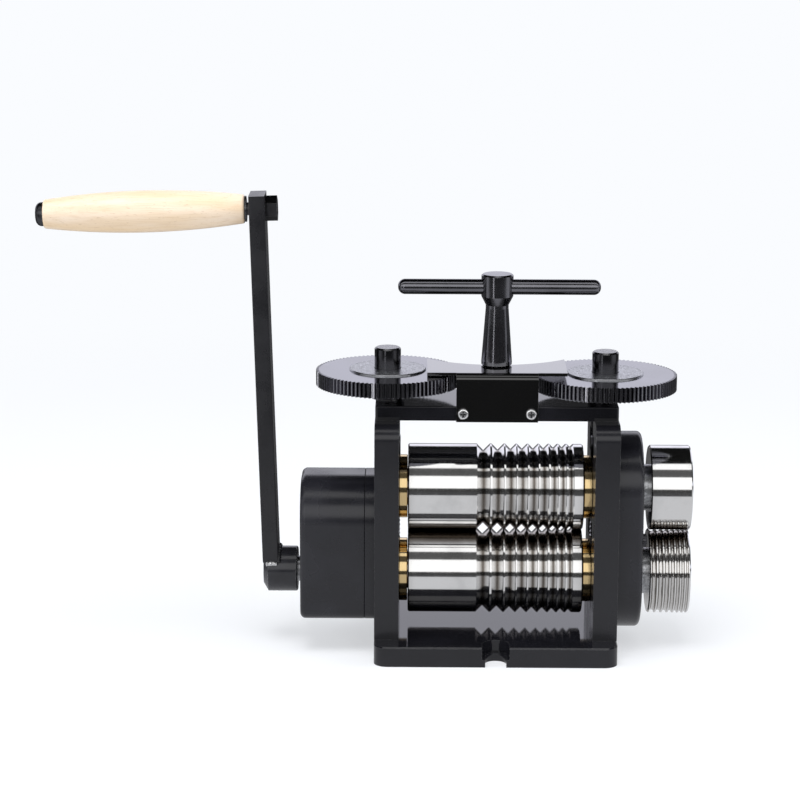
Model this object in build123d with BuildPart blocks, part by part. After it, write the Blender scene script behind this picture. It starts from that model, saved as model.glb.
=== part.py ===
"""Jewellers rolling mill: a hand cranked bench mill with two rolls, part smooth and part wire grooved.

Frame: X runs along the rolls (crank at -X), Y runs through the mill (operator at -Y), +Z is up,
and the origin is the centre of the base plate's underside. Millimetres.
"""
from build123d import *
from math import acos, cos, pi, radians, sin, sqrt, tan
import os

# ---------------------------------------------------------------- driving dimensions
# clearances
SEAT = 0.3          # gap between a moving face and what it lies against
RUN = 0.05          # radial running clearance of a shaft in its bush
SLIP = 0.15         # gap each side of a sliding block or key

# base plate
BASE_WIDTH = 150.0
BASE_DEPTH = 118.0
BASE_THICK = 12.5
BASE_CORNER = 8.5
BASE_EDGE = 0.8
BENCH_SLOT_WIDTH = 13.0
BENCH_SLOT_DEPTH = 13.4
BENCH_HEAD_WIDTH = 17.0
BENCH_HEAD_DEPTH = 16.4
BENCH_FLANGE = 4.8
BASE_BOLT_INSET = 9.0     # side plate bolts from the plate's front and back

# side plates
PLATE_THICK = 15.0
PLATE_DEPTH = 87.0
PLATE_HEIGHT = 135.0
PLATE_CORNER = 9.5
WINDOW_HALF = 20.0
WINDOW_BRIDGE = 12.0      # height of the lugs above the bearing window
BRIDGE_GAP_HALF = 9.0     # half width of the way for the pressing screw between the lugs
BEAM_BOLT_SHIFT = 2.0     # beam bolts outward of the lugs' middle
SCREW_HOLD = 9.0          # how far a cover's screws go into a side plate
SCREW_HOLE = 10.5

# rolls
ROLL_DIAMETER = 53.6
ROLL_GAP = 0.4            # rolls almost closed at rest
ROLL_END_SPACE = 5.5      # from each end of a roll to its side plate
ROLL_TRAVEL = 4.0         # how far the upper roll opens
LOWER_AXIS_ABOVE_BASE = 33.2
JOURNAL_RADIUS = 12.0
ROLL_EDGE = 0.8
GROOVE_WIDTHS = (8.2, 7.4, 6.6, 6.2, 5.9, 5.5, 4.7, 4.2, 3.6)
GROOVE_PITCHES = (9.0, 8.0, 7.2, 6.9, 6.5, 6.1, 5.4, 5.0)
LAST_GROOVE_INSET = 8.0   # from the roll's right end to the middle of the finest groove
GROOVE_CLEAR = 1.0        # how far a groove's cutter stands out of the roll

# bearings
BUSH_WALL = 3.5
BUSH_FLANGE_RADIUS = 19.8
BUSH_EDGE = 0.4
BLOCK_HALF_HEIGHT = 20.0
SPRING_RADIUS = 6.4
SPRING_SET_IN = 0.7       # spring's axis lies this far inside the plate's middle
SPRING_WIRE = 1.0         # wire radius
SPRING_TURNS = 4.5
SPIGOT_PLAY = 0.5         # radial play of the locating spigot inside the spring
SPIGOT_HEIGHT = 3.0
PAD_RADIUS = 8.2
PAD_THICK = 13.3
PAD_EDGE = 0.5

# top beam and pressing screws
BEAM_THICK = 9.0
BEAM_DEPTH = 50.6
BEAM_EDGE = 0.8
BEAM_CORNER = 1.5
BEAM_INSET = 0.2
SCREW_RADIUS = 8.2        # plain upper end, keyed to its wheel
THREAD_RADIUS = 5.95
SCREW_TOP_ABOVE_WHEEL = 14.1
SCREW_EDGE = 1.0
COLLAR_RADIUS = 10.5
KEY_SIZE = 4.0

# toothed adjusting wheels and the pinion between them
WHEEL_TEETH = 97
PINION_TEETH = 53
WHEEL_THICK = 9.3
LEFT_WHEEL_LIFT = 8.6     # height of the collar that carries the left wheel
RIGHT_WHEEL_LIFT = 6.6
PINION_THICK = 7.8
PINION_HUB_RADIUS = 10.0
DIAL_RADIUS = 23.7
DIAL_THICK = 1.0

# cover bracket over the pinion
COVER_SHEET = 2.0
COVER_ABOVE_WHEEL = 0.8
COVER_CENTRE_HALF = 25.1
COVER_WING_HALF = 43.0
COVER_BEND = 4.2
COVER_BACK_ARC = 60.0
COVER_LOBE_RADIUS = 9.3
COVER_BACK_SET = 1.0      # the back arc's middle lies this far behind the spindle
COVER_OVERHANG = 0.4      # how far the front flange hangs below the beam
COVER_SCREW_X = 20.9
COVER_SCREW_RISE = 0.4    # above the beam's middle
COVER_SCREW_HOLD = 6.0    # how far the pan screws go into the beam
COVER_SCREW_HOLE = 8.0
PAN_HEAD_RADIUS = 3.4
PAN_HEAD_THICK = 2.3
PAN_HEAD_ROUND = 1.2
CROSS_LENGTH = 3.6
CROSS_WIDTH = 0.9
CROSS_DEPTH = 1.2
SMALL_SCREW_RADIUS = 2.0

# T handle
POST_FOOT_RADIUS = 9.5
POST_NECK_RADIUS = 7.1
POST_FOOT_EDGE = 0.8
POST_FOOT_HEIGHT = 3.0
POST_HEIGHT = 57.3
NECK_LENGTH = 2.0
POST_FLARE = 5.5          # height of the cone between neck and hub
HUB_LENGTH = 13.8
HUB_RADIUS = 9.9
HUB_EDGE = 1.0
SPINDLE_RADIUS = 6.0
PIVOT_RADIUS = 5.0
T_BAR_RADIUS = 4.75
T_BAR_LENGTH = 125.0
T_BAR_SHIFT = 1.3         # the bar can slide in the post; it stands a little to the right
T_BAR_BELOW_TOP = 8.2     # bar's middle below the top of the post

# gearbox on the crank side
GEARBOX_BACK_THICK = 6.5
GEARBOX_WIDTH = 39.7
GEARBOX_HALF_DEPTH = 33.0
GEARBOX_BELOW_AXIS = 24.6
GEARBOX_HEIGHT = 87.7
GEARBOX_TOP_CORNER = 26.5
GEARBOX_BOTTOM_CORNER = 7.5
GEARBOX_EDGE = 3.4
GEARBOX_WALL = 3.5
JOINT_EDGE = 0.6          # bevel where the back plate meets the housing
BOSS_RADIUS = 5.2
CASE_SCREW_INSET = 8.0    # from the sides and the bottom
CASE_SCREW_RISE = 12.5    # upper pair above the crank's axis
HEAD_POCKET = 2.7         # depth of the pockets that hide the screw heads
TRAIN_MODULE = 1.5
CRANK_PINION_TEETH = 14
LAY_GEAR_TEETH = 31
LAY_PINION_TEETH = 21
ROLL_GEAR_TEETH = 24
TRAIN_FACE = 8.0          # face width of the train's gears
TRAIN_SPACE = 4.0         # space between the two pairs
LAY_SHAFT_RADIUS = 6.0
LAY_SEAT_RADIUS = 8.0
LAY_BUSH_WALL = 2.5
CRANK_SHAFT_RADIUS = 8.0
CRANK_BUSH_WALL = 3.0
BUSH_BOSS_WALL = 3.0
PILOT_RADIUS = 5.0
PILOT_LENGTH = 10.0
TRAIN_SHAFT_RADIUS = 10.0

# roll coupling gears and their cover on the other side
SYNC_TEETH = 18
SYNC_FACE = 8.6
SYNC_ADDENDUM = 0.75
SYNC_SHAFT_RADIUS = 11.0
GEAR_COVER_DEPTH = 16.0
GEAR_COVER_RADIUS = 33.6
GEAR_COVER_WALL = 1.8
GEAR_COVER_EDGE = 3.2
GEAR_COVER_DROP = 1.5      # its lower round lies this far below the lower roll's axis
COVER_SCREW_INSET = 6.0
GEAR_KEY = 5.0

# extension rolls outside the gear cover
EXT_DIAMETER = 53.0
EXT_WIDTH = 25.6
EXT_OFFSET = 4.9          # gap between gear cover and roll
EXT_SHAFT_RADIUS = 9.0
HUB_SLEEVE_RADIUS = 14.5    # gear hub that passes through the cover to the extension roll
COVER_WAY_RADIUS = 15.3
ROUND_GROOVES = (3.4, 3.2, 3.0, 2.7, 2.4, 2.1, 1.8)
ROUND_GROOVE_LAND = 0.75
ROUND_GROOVE_START = 1.2
CAP_RADIUS = 14.0
CAP_THICK = 2.5
CAP_EDGE = 0.5
CAP_HEAD_RADIUS = 6.0
CAP_HEAD_THICK = 2.2
CAP_HEAD_ROUND = 0.8
CAP_KEY_DEPTH = 2.6

# crank
CRANK_RADIUS = 229.0
CRANK_LEAN = 1.8          # degrees, the arm leans outwards
ARM_THICK = 9.8
ARM_WIDTH = 25.0
ARM_END = 9.2             # arm above the handle bolt
ARM_EDGE = 0.6
SLEEVE_RADIUS = 14.2
SLEEVE_LENGTH = 21.5
SLEEVE_GAP = 2.4
SLEEVE_END_WALL = 2.0
SLEEVE_EDGE = 0.8
SLEEVE_NOSE = 3.0         # bevel at the outer end, along the axis
SLEEVE_NOSE_DROP = 5.0    # and across it
HANDLE_BOLT_RADIUS = 4.0
WASHER_THICK = 0.8
WASHER_RADIUS = 8.0
HANDLE_GAP = 2.0          # bolt seen between handle washer and arm
GRIP_LENGTH = 123.5
GRIP_END_RADIUS = 9.0
GRIP_MIDDLE_RADIUS = 12.9
GRIP_EDGE = 1.5
BOLT_HEAD_RADIUS = 7.4
BOLT_HEAD_THICK = 4.6
HANDLE_NUT_FLAT = 13.6
HANDLE_NUT_THICK = 7.2
BOLT_SHORT = 0.6          # bolt ends this far inside its nut

# fasteners
SOCKET_RADIUS = 5.0
SOCKET_HEAD = 6.0
SOCKET_SHANK = 3.0
SOCKET_SHANK_LENGTH = 14.0
HEX_KEY = 4.0
COVER_SCREW_SHANK = 2.4
BUTTON_RADIUS = 4.25
BUTTON_HEAD = 2.4
BUTTON_ROUND = 1.2
BUTTON_KEY = 2.8
BUTTON_KEY_DEPTH = 1.6

# ---------------------------------------------------------------- places worked out from them
lower_z = BASE_THICK + LOWER_AXIS_ABOVE_BASE
axis_distance = ROLL_DIAMETER + ROLL_GAP
upper_z = lower_z + axis_distance
roll_radius = ROLL_DIAMETER / 2
plate_in = BASE_WIDTH / 2 - PLATE_THICK
half_roll = plate_in - ROLL_END_SPACE
plate_out = BASE_WIDTH / 2
plate_mid = BASE_WIDTH / 2 - PLATE_THICK / 2
plate_top = BASE_THICK + PLATE_HEIGHT
window_low = lower_z - BLOCK_HALF_HEIGHT
window_high = plate_top - WINDOW_BRIDGE
bush_radius = JOURNAL_RADIUS + RUN + BUSH_WALL
block_top = upper_z + BLOCK_HALF_HEIGHT
beam_top = plate_top + BEAM_THICK
beam_half = BEAM_DEPTH / 2
wheel_lift = {-1: LEFT_WHEEL_LIFT, 1: RIGHT_WHEEL_LIFT}
wheels_mid = beam_top + (LEFT_WHEEL_LIFT + RIGHT_WHEEL_LIFT + WHEEL_THICK) / 2
pinion_low = wheels_mid - PINION_THICK / 2
screw_x = plate_mid
fine_module = 2 * screw_x / (WHEEL_TEETH + PINION_TEETH)
spring_x = plate_mid - SPRING_SET_IN
cover_low = beam_top + max(wheel_lift.values()) + WHEEL_THICK + COVER_ABOVE_WHEEL
cover_top = cover_low + COVER_SHEET
cover_front = beam_half + COVER_SHEET
post_low = cover_top + SEAT
post_high = post_low + POST_HEIGHT
hub_low = post_high - HUB_LENGTH
neck_high = hub_low - POST_FLARE
t_bar_z = post_high - T_BAR_BELOW_TOP
gearbox_in = plate_out + GEARBOX_BACK_THICK
gearbox_out = gearbox_in + GEARBOX_WIDTH
gearbox_low = lower_z - GEARBOX_BELOW_AXIS
gearbox_high = gearbox_low + GEARBOX_HEIGHT
train_distance = TRAIN_MODULE * (CRANK_PINION_TEETH + LAY_GEAR_TEETH) / 2
lay_z = lower_z + train_distance
train_inner = gearbox_in + SEAT * 8
train_split = train_inner + TRAIN_FACE
train_outer = train_split + TRAIN_SPACE
train_end = train_outer + TRAIN_FACE
sync_module = axis_distance / SYNC_TEETH
sync_in = plate_out + SEAT * 8
sync_out = sync_in + SYNC_FACE
gear_cover_out = plate_out + GEAR_COVER_DEPTH
ext_in = gear_cover_out + EXT_OFFSET
ext_out = ext_in + EXT_WIDTH
arm_out = gearbox_out + SLEEVE_GAP + SLEEVE_LENGTH
sleeve_in = gearbox_out + SLEEVE_GAP

os.makedirs("parts", exist_ok=True)


def save(piece, name):
    """Label one finished piece and write it as its own STEP file."""
    piece.label = name
    export_step(piece, f"parts/{name}.step")


def involute(angle):
    return tan(angle) - angle


def gear_points(teeth, module, phase=0.0, addendum=0.9, dedendum=1.15, play=0.14, flank_steps=3):
    """Outline of a spur gear with involute flanks; phase is the angle of one tooth's middle."""
    pitch_r = teeth * module / 2
    base_r = pitch_r * cos(radians(20))
    tip_r = pitch_r + addendum * module
    root_r = pitch_r - dedendum * module
    low_r = max(base_r, root_r + 0.15 * module)
    half_pitch = pi / (2 * teeth) - play / (2 * pitch_r) + involute(radians(20))
    half = [root_r] + [low_r + (tip_r - low_r) * k / flank_steps for k in range(flank_steps + 1)]

    def half_angle(radius):
        if radius <= base_r:
            return half_pitch
        return half_pitch - involute(acos(base_r / radius))

    points = []
    for tooth in range(teeth):
        middle = radians(phase) + 2 * pi * tooth / teeth
        for radius in half:
            angle = middle - half_angle(radius)
            points.append((radius * cos(angle), radius * sin(angle)))
        for radius in reversed(half):
            angle = middle + half_angle(radius)
            points.append((radius * cos(angle), radius * sin(angle)))
    return points


def x_plane(x, z=0.0):
    """Sketch plane square to X, with local x along +Y and local y along +Z."""
    return Plane(origin=(x, 0, z), x_dir=(0, 1, 0), z_dir=(1, 0, 0))


def z_plane(x, z):
    return Plane(origin=(x, 0, z), x_dir=(1, 0, 0), z_dir=(0, 0, 1))


def side_name(side):
    return "left" if side < 0 else "right"


# ---------------------------------------------------------------- base plate
base_bolt_y = PLATE_DEPTH / 2 - BASE_BOLT_INSET
with BuildPart() as base_plate:
    with BuildSketch():
        RectangleRounded(BASE_WIDTH, BASE_DEPTH, BASE_CORNER)
    extrude(amount=BASE_THICK)
    chamfer(base_plate.faces().sort_by(Axis.Z)[-1].edges(), BASE_EDGE)
    for end in (-1, 1):
        slot_y = end * (BASE_DEPTH / 2 - BENCH_SLOT_DEPTH + BENCH_SLOT_WIDTH / 2)
        head_y = end * (BASE_DEPTH / 2 - BENCH_HEAD_DEPTH + BENCH_HEAD_WIDTH / 2)
        with BuildSketch():
            with Locations((0, slot_y)):
                Circle(BENCH_SLOT_WIDTH / 2)
            with Locations((0, slot_y + end * BASE_DEPTH / 4)):
                Rectangle(BENCH_SLOT_WIDTH, BASE_DEPTH / 2)
        extrude(amount=BASE_THICK, mode=Mode.SUBTRACT)
        with BuildSketch(Plane.XY.offset(BENCH_FLANGE)):
            with Locations((0, head_y)):
                Circle(BENCH_HEAD_WIDTH / 2)
            with Locations((0, head_y + end * BASE_DEPTH / 4)):
                Rectangle(BENCH_HEAD_WIDTH, BASE_DEPTH / 2)
        extrude(amount=BASE_THICK, mode=Mode.SUBTRACT)
    with BuildSketch():
        with GridLocations(2 * plate_mid, 2 * base_bolt_y, 2, 2):
            Circle(SOCKET_RADIUS + SEAT)
    extrude(amount=SOCKET_HEAD + SEAT, mode=Mode.SUBTRACT)
    with BuildSketch():
        with GridLocations(2 * plate_mid, 2 * base_bolt_y, 2, 2):
            Circle(SOCKET_SHANK)
    extrude(amount=BASE_THICK, mode=Mode.SUBTRACT)
save(base_plate.part, "base_plate")


def socket_screws(places, face_z, up):
    """Socket head screws as one group; face_z is under the head and up is the way the shank runs."""
    shank = SOCKET_SHANK_LENGTH
    with BuildPart() as screws:
        for x, y in places:
            with BuildSketch(Plane.XY.offset(face_z)):
                with Locations((x, y)):
                    Circle(SOCKET_RADIUS)
            extrude(amount=-up * SOCKET_HEAD)
            with BuildSketch(Plane.XY.offset(face_z)):
                with Locations((x, y)):
                    Circle(SOCKET_SHANK)
            extrude(amount=up * shank)
            with BuildSketch(Plane.XY.offset(face_z - up * SOCKET_HEAD)):
                with Locations((x, y)):
                    RegularPolygon(HEX_KEY / 2, 6, major_radius=False)
            extrude(amount=up * SOCKET_HEAD / 2, mode=Mode.SUBTRACT)
    return screws.part


base_places = [(sx * plate_mid, sy * base_bolt_y) for sx in (-1, 1) for sy in (-1, 1)]
save(socket_screws(base_places, SOCKET_HEAD + SEAT, 1), "base_screws")

# ---------------------------------------------------------------- side plates with bearing windows
beam_bolt_y = (BRIDGE_GAP_HALF + WINDOW_HALF) / 2 + BEAM_BOLT_SHIFT
gearbox_screw_yz = [
    (sy * (GEARBOX_HALF_DEPTH - CASE_SCREW_INSET), z)
    for sy in (-1, 1)
    for z in (lower_z + CASE_SCREW_RISE, gearbox_low + CASE_SCREW_INSET)
]
cover_screw_yz = [
    (sy * (GEAR_COVER_RADIUS - COVER_SCREW_INSET), (lower_z + upper_z) / 2) for sy in (-1, 1)
]


def side_plate(side):
    with BuildPart() as plate:
        with BuildSketch(x_plane(side * plate_mid)):
            with BuildLine():
                Polyline(
                    (-PLATE_DEPTH / 2, BASE_THICK),
                    (PLATE_DEPTH / 2, BASE_THICK),
                    (PLATE_DEPTH / 2, plate_top),
                    (-PLATE_DEPTH / 2, plate_top),
                    close=True,
                )
            make_face()
        extrude(amount=PLATE_THICK / 2, both=True)
        top_edges = plate.edges().filter_by(Axis.X).group_by(Axis.Z)[-1]
        fillet(top_edges, PLATE_CORNER)
        with BuildSketch(x_plane(side * plate_mid)):
            with Locations((0, (window_low + window_high) / 2)):
                Rectangle(2 * WINDOW_HALF, window_high - window_low)
            with Locations((0, window_high)):
                Rectangle(2 * BRIDGE_GAP_HALF, 4 * WINDOW_BRIDGE)
        extrude(amount=PLATE_THICK, both=True, mode=Mode.SUBTRACT)
        with BuildSketch(Plane.XY.offset(BASE_THICK)):
            with Locations(*[(side * plate_mid, sy * base_bolt_y) for sy in (-1, 1)]):
                Circle(SOCKET_SHANK)
        shank_in = SOCKET_HEAD + SEAT + SOCKET_SHANK_LENGTH - BASE_THICK
        extrude(amount=shank_in, mode=Mode.SUBTRACT)
        with BuildSketch(Plane.XY.offset(plate_top)):
            with Locations(*[(side * plate_mid, sy * beam_bolt_y) for sy in (-1, 1)]):
                Circle(SOCKET_SHANK)
        beam_in = SOCKET_SHANK_LENGTH + SOCKET_HEAD - BEAM_THICK
        extrude(amount=-beam_in, mode=Mode.SUBTRACT)
        cover_places = gearbox_screw_yz if side < 0 else cover_screw_yz
        with BuildSketch(x_plane(side * plate_out)):
            with Locations(*cover_places):
                Circle(COVER_SCREW_SHANK)
        extrude(amount=-side * SCREW_HOLE, mode=Mode.SUBTRACT)
    return plate.part


for side in (-1, 1):
    save(side_plate(side), f"{side_name(side)}_side_plate")

# ---------------------------------------------------------------- top beam, wheel collars, beam screws
with BuildPart() as top_beam:
    with BuildSketch(Plane.XY.offset(plate_top)):
        Rectangle(BASE_WIDTH - 2 * BEAM_INSET, BEAM_DEPTH)
    extrude(amount=BEAM_THICK)
    fillet(top_beam.edges().filter_by(Axis.Z), BEAM_CORNER)
    fillet(top_beam.faces().sort_by(Axis.Z)[-1].edges(), BEAM_EDGE)
    with BuildSketch(Plane.XY.offset(plate_top)):
        with Locations((-screw_x, 0), (screw_x, 0)):
            Circle(THREAD_RADIUS + RUN)
        Circle(PIVOT_RADIUS + RUN)
    extrude(amount=BEAM_THICK, mode=Mode.SUBTRACT)
    with BuildSketch(Plane.XY.offset(plate_top)):
        with GridLocations(2 * plate_mid, 2 * beam_bolt_y, 2, 2):
            Circle(SOCKET_SHANK)
    extrude(amount=BEAM_THICK, mode=Mode.SUBTRACT)
    with BuildSketch(Plane.XY.offset(beam_top)):
        with GridLocations(2 * plate_mid, 2 * beam_bolt_y, 2, 2):
            Circle(SOCKET_RADIUS + SEAT)
    extrude(amount=-SOCKET_HEAD, mode=Mode.SUBTRACT)
    flange_z = plate_top + BEAM_THICK / 2 + COVER_SCREW_RISE
    with BuildSketch(Plane.XZ.offset(beam_half)):
        with Locations((-COVER_SCREW_X, flange_z), (COVER_SCREW_X, flange_z)):
            Circle(SMALL_SCREW_RADIUS)
    extrude(amount=-COVER_SCREW_HOLE, mode=Mode.SUBTRACT)
save(top_beam.part, "top_beam")

beam_places = [(sx * plate_mid, sy * beam_bolt_y) for sx in (-1, 1) for sy in (-1, 1)]
save(socket_screws(beam_places, beam_top - SOCKET_HEAD, -1), "beam_screws")

with BuildPart() as thrust_collars:
    for side, lift in wheel_lift.items():
        with BuildSketch(z_plane(side * screw_x, beam_top)):
            Circle(COLLAR_RADIUS)
            Circle(SCREW_RADIUS + SEAT, mode=Mode.SUBTRACT)
        extrude(amount=lift - SEAT)
save(thrust_collars.part, "thrust_collars")


# ---------------------------------------------------------------- bearing blocks and bushes
def bearing_block(side, axis_z, spigot_up):
    """Block that fills the window's width, with a spigot that holds the spring; up is +1 or -1."""
    with BuildPart() as block:
        with BuildSketch(x_plane(side * plate_mid)):
            with Locations((0, axis_z)):
                Rectangle(2 * (WINDOW_HALF - SLIP), 2 * BLOCK_HALF_HEIGHT)
                Circle(bush_radius, mode=Mode.SUBTRACT)
        extrude(amount=PLATE_THICK / 2, both=True)
        with BuildSketch(z_plane(side * spring_x, axis_z + spigot_up * BLOCK_HALF_HEIGHT)):
            Circle(SPRING_RADIUS - SPRING_WIRE - SPIGOT_PLAY)
        extrude(amount=spigot_up * SPIGOT_HEIGHT)
    return block.part


def bush(side, axis_z):
    with BuildPart() as sleeve:
        with BuildSketch(x_plane(side * plate_out)):
            with Locations((0, axis_z)):
                Circle(bush_radius)
                Circle(JOURNAL_RADIUS + RUN, mode=Mode.SUBTRACT)
        extrude(amount=-side * PLATE_THICK)
        with BuildSketch(x_plane(side * plate_in)):
            with Locations((0, axis_z)):
                Circle(BUSH_FLANGE_RADIUS)
                Circle(JOURNAL_RADIUS + RUN, mode=Mode.SUBTRACT)
        extrude(amount=-side * (ROLL_END_SPACE - SEAT))
        rim = sleeve.edges().filter_by(GeomType.CIRCLE).filter_by(
            lambda e: abs(e.radius - BUSH_FLANGE_RADIUS) < 0.01
        )
        chamfer(rim, BUSH_EDGE)
    return sleeve.part


for side in (-1, 1):
    name = side_name(side)
    save(bearing_block(side, lower_z, 1), f"{name}_lower_block")
    save(bearing_block(side, upper_z, -1), f"{name}_upper_block")
    save(bush(side, lower_z), f"{name}_lower_bush")
    save(bush(side, upper_z), f"{name}_upper_bush")

with BuildPart() as thrust_pads:
    with BuildSketch(Plane.XY.offset(block_top)):
        with Locations((-screw_x, 0), (screw_x, 0)):
            Circle(PAD_RADIUS)
    extrude(amount=PAD_THICK - SEAT)
    chamfer(thrust_pads.faces().group_by(Axis.Z)[-1].edges(), PAD_EDGE)
save(thrust_pads.part, "thrust_pads")


# ---------------------------------------------------------------- lift springs between the blocks
spring_low = lower_z + BLOCK_HALF_HEIGHT + SPRING_WIRE
spring_high = upper_z - BLOCK_HALF_HEIGHT - SPRING_WIRE
spring_pitch = (spring_high - spring_low) / SPRING_TURNS
print(f"lift spring: gap between turns {spring_pitch - 2 * SPRING_WIRE:.2f}")


def helix_point(side, turn):
    """Place and heading on the spring's middle line after some turns."""
    angle = 2 * pi * turn
    flat_x = SPRING_RADIUS * cos(angle)
    flat_y = SPRING_RADIUS * sin(angle)
    place = Vector(side * spring_x + flat_x, flat_y, spring_low + spring_pitch * turn)
    heading = Vector(-2 * pi * flat_y, 2 * pi * flat_x, spring_pitch)
    return place, heading.normalized()


def spring_path(side):
    """Helix of quarter turns, each made of two arcs that share a tangent in the middle."""
    with BuildLine() as coil:
        for step in range(round(SPRING_TURNS * 4)):
            start, start_dir = helix_point(side, step / 4)
            end, end_dir = helix_point(side, (step + 1) / 4)
            span = end - start
            along = span.dot(start_dir + end_dir)
            square = 2 * (1 - start_dir.dot(end_dir))
            reach = (-along + sqrt(along * along + square * span.dot(span))) / square
            middle = (start + start_dir * reach + end - end_dir * reach) / 2
            middle_dir = (end - end_dir * reach - middle).normalized()
            TangentArc(start, middle, tangent=start_dir)
            TangentArc(middle, end, tangent=middle_dir)
    return coil.wire()


with BuildPart() as lift_springs:
    for side in (-1, 1):
        start, start_dir = helix_point(side, 0)
        with BuildSketch(Plane(origin=start, z_dir=start_dir)):
            Circle(SPRING_WIRE)
        sweep(path=spring_path(side))
save(lift_springs.part, "lift_springs")

# ---------------------------------------------------------------- toothed wheels, dials, pressing screws
for side in (-1, 1):
    name = side_name(side)
    key_y = SCREW_RADIUS
    wheel_low = beam_top + wheel_lift[side]
    wheel_top = wheel_low + WHEEL_THICK
    screw_top = wheel_top + SCREW_TOP_ABOVE_WHEEL
    with BuildPart() as wheel:
        with BuildSketch(z_plane(side * screw_x, wheel_low)):
            with BuildLine():
                Polyline(*gear_points(WHEEL_TEETH, fine_module), close=True)
            make_face()
            Circle(SCREW_RADIUS + RUN, mode=Mode.SUBTRACT)
            with Locations((0, key_y)):
                Rectangle(KEY_SIZE, KEY_SIZE, mode=Mode.SUBTRACT)
        extrude(amount=WHEEL_THICK)
    save(wheel.part, f"{name}_wheel")

    with BuildPart() as dial_plate:
        with BuildSketch(z_plane(side * screw_x, wheel_top)):
            Circle(DIAL_RADIUS)
            Circle(SCREW_RADIUS + SEAT, mode=Mode.SUBTRACT)
        extrude(amount=DIAL_THICK)
        rim = dial_plate.edges().group_by(Axis.Z)[-1].sort_by(SortBy.RADIUS)[-1]
        chamfer(rim, DIAL_THICK * 0.4)
    save(dial_plate.part, f"{name}_dial_plate")

    with BuildPart() as drive_key:
        with BuildSketch(z_plane(side * screw_x, wheel_low)):
            with Locations((0, key_y)):
                Rectangle(KEY_SIZE, KEY_SIZE)
        extrude(amount=WHEEL_THICK)
    save(drive_key.part, f"{name}_drive_key")

    with BuildPart() as pressing_screw:
        with BuildSketch(z_plane(side * screw_x, block_top + PAD_THICK)):
            Circle(THREAD_RADIUS)
        extrude(amount=wheel_low - block_top - PAD_THICK)
        with BuildSketch(z_plane(side * screw_x, beam_top + SEAT)):
            Circle(SCREW_RADIUS)
        extrude(amount=screw_top - beam_top - SEAT)
        chamfer(pressing_screw.faces().sort_by(Axis.Z)[-1].edges(), SCREW_EDGE)
        with BuildSketch(z_plane(side * screw_x, beam_top + SEAT)):
            with Locations((0, key_y)):
                Rectangle(KEY_SIZE + 2 * SLIP, KEY_SIZE + 2 * SLIP)
        extrude(amount=wheel_top - beam_top, mode=Mode.SUBTRACT)
    save(pressing_screw.part, f"{name}_pressing_screw")

# ---------------------------------------------------------------- T handle with its pinion
with BuildPart() as handle_post:
    with BuildSketch(Plane.XZ):
        with BuildLine():
            Polyline(
                (0, plate_top + SEAT),
                (PIVOT_RADIUS, plate_top + SEAT),
                (PIVOT_RADIUS, pinion_low - SEAT),
                (SPINDLE_RADIUS, pinion_low - SEAT),
                (SPINDLE_RADIUS, post_low),
                (POST_FOOT_RADIUS - POST_FOOT_EDGE, post_low),
                (POST_FOOT_RADIUS, post_low + POST_FOOT_EDGE),
                (POST_FOOT_RADIUS, post_low + POST_FOOT_HEIGHT),
                (POST_NECK_RADIUS, neck_high - NECK_LENGTH),
                (POST_NECK_RADIUS, neck_high),
                (HUB_RADIUS, hub_low),
                (HUB_RADIUS, post_high - HUB_EDGE),
                (HUB_RADIUS - HUB_EDGE, post_high),
                (0, post_high),
                close=True,
            )
        make_face()
    revolve(axis=Axis.Z)
    with BuildSketch(x_plane(0)):
        with Locations((0, t_bar_z)):
            Circle(T_BAR_RADIUS)
    extrude(amount=2 * HUB_RADIUS, both=True, mode=Mode.SUBTRACT)
save(handle_post.part, "handle_post")

with BuildPart() as handle_bar:
    with BuildSketch(x_plane(T_BAR_SHIFT)):
        with Locations((0, t_bar_z)):
            Circle(T_BAR_RADIUS)
    extrude(amount=T_BAR_LENGTH / 2, both=True)
    fillet(handle_bar.edges().filter_by(GeomType.CIRCLE), T_BAR_RADIUS * 0.9)
save(handle_bar.part, "handle_bar")

with BuildPart() as handle_pinion:
    with BuildSketch(Plane.XY.offset(pinion_low)):
        with BuildLine():
            Polyline(*gear_points(PINION_TEETH, fine_module), close=True)
        make_face()
        Circle(SPINDLE_RADIUS, mode=Mode.SUBTRACT)
    extrude(amount=PINION_THICK)
    with BuildSketch(Plane.XY.offset(pinion_low)):
        Circle(PINION_HUB_RADIUS)
        Circle(SPINDLE_RADIUS, mode=Mode.SUBTRACT)
    extrude(amount=-(pinion_low - beam_top - SEAT))
save(handle_pinion.part, "handle_pinion")

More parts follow.
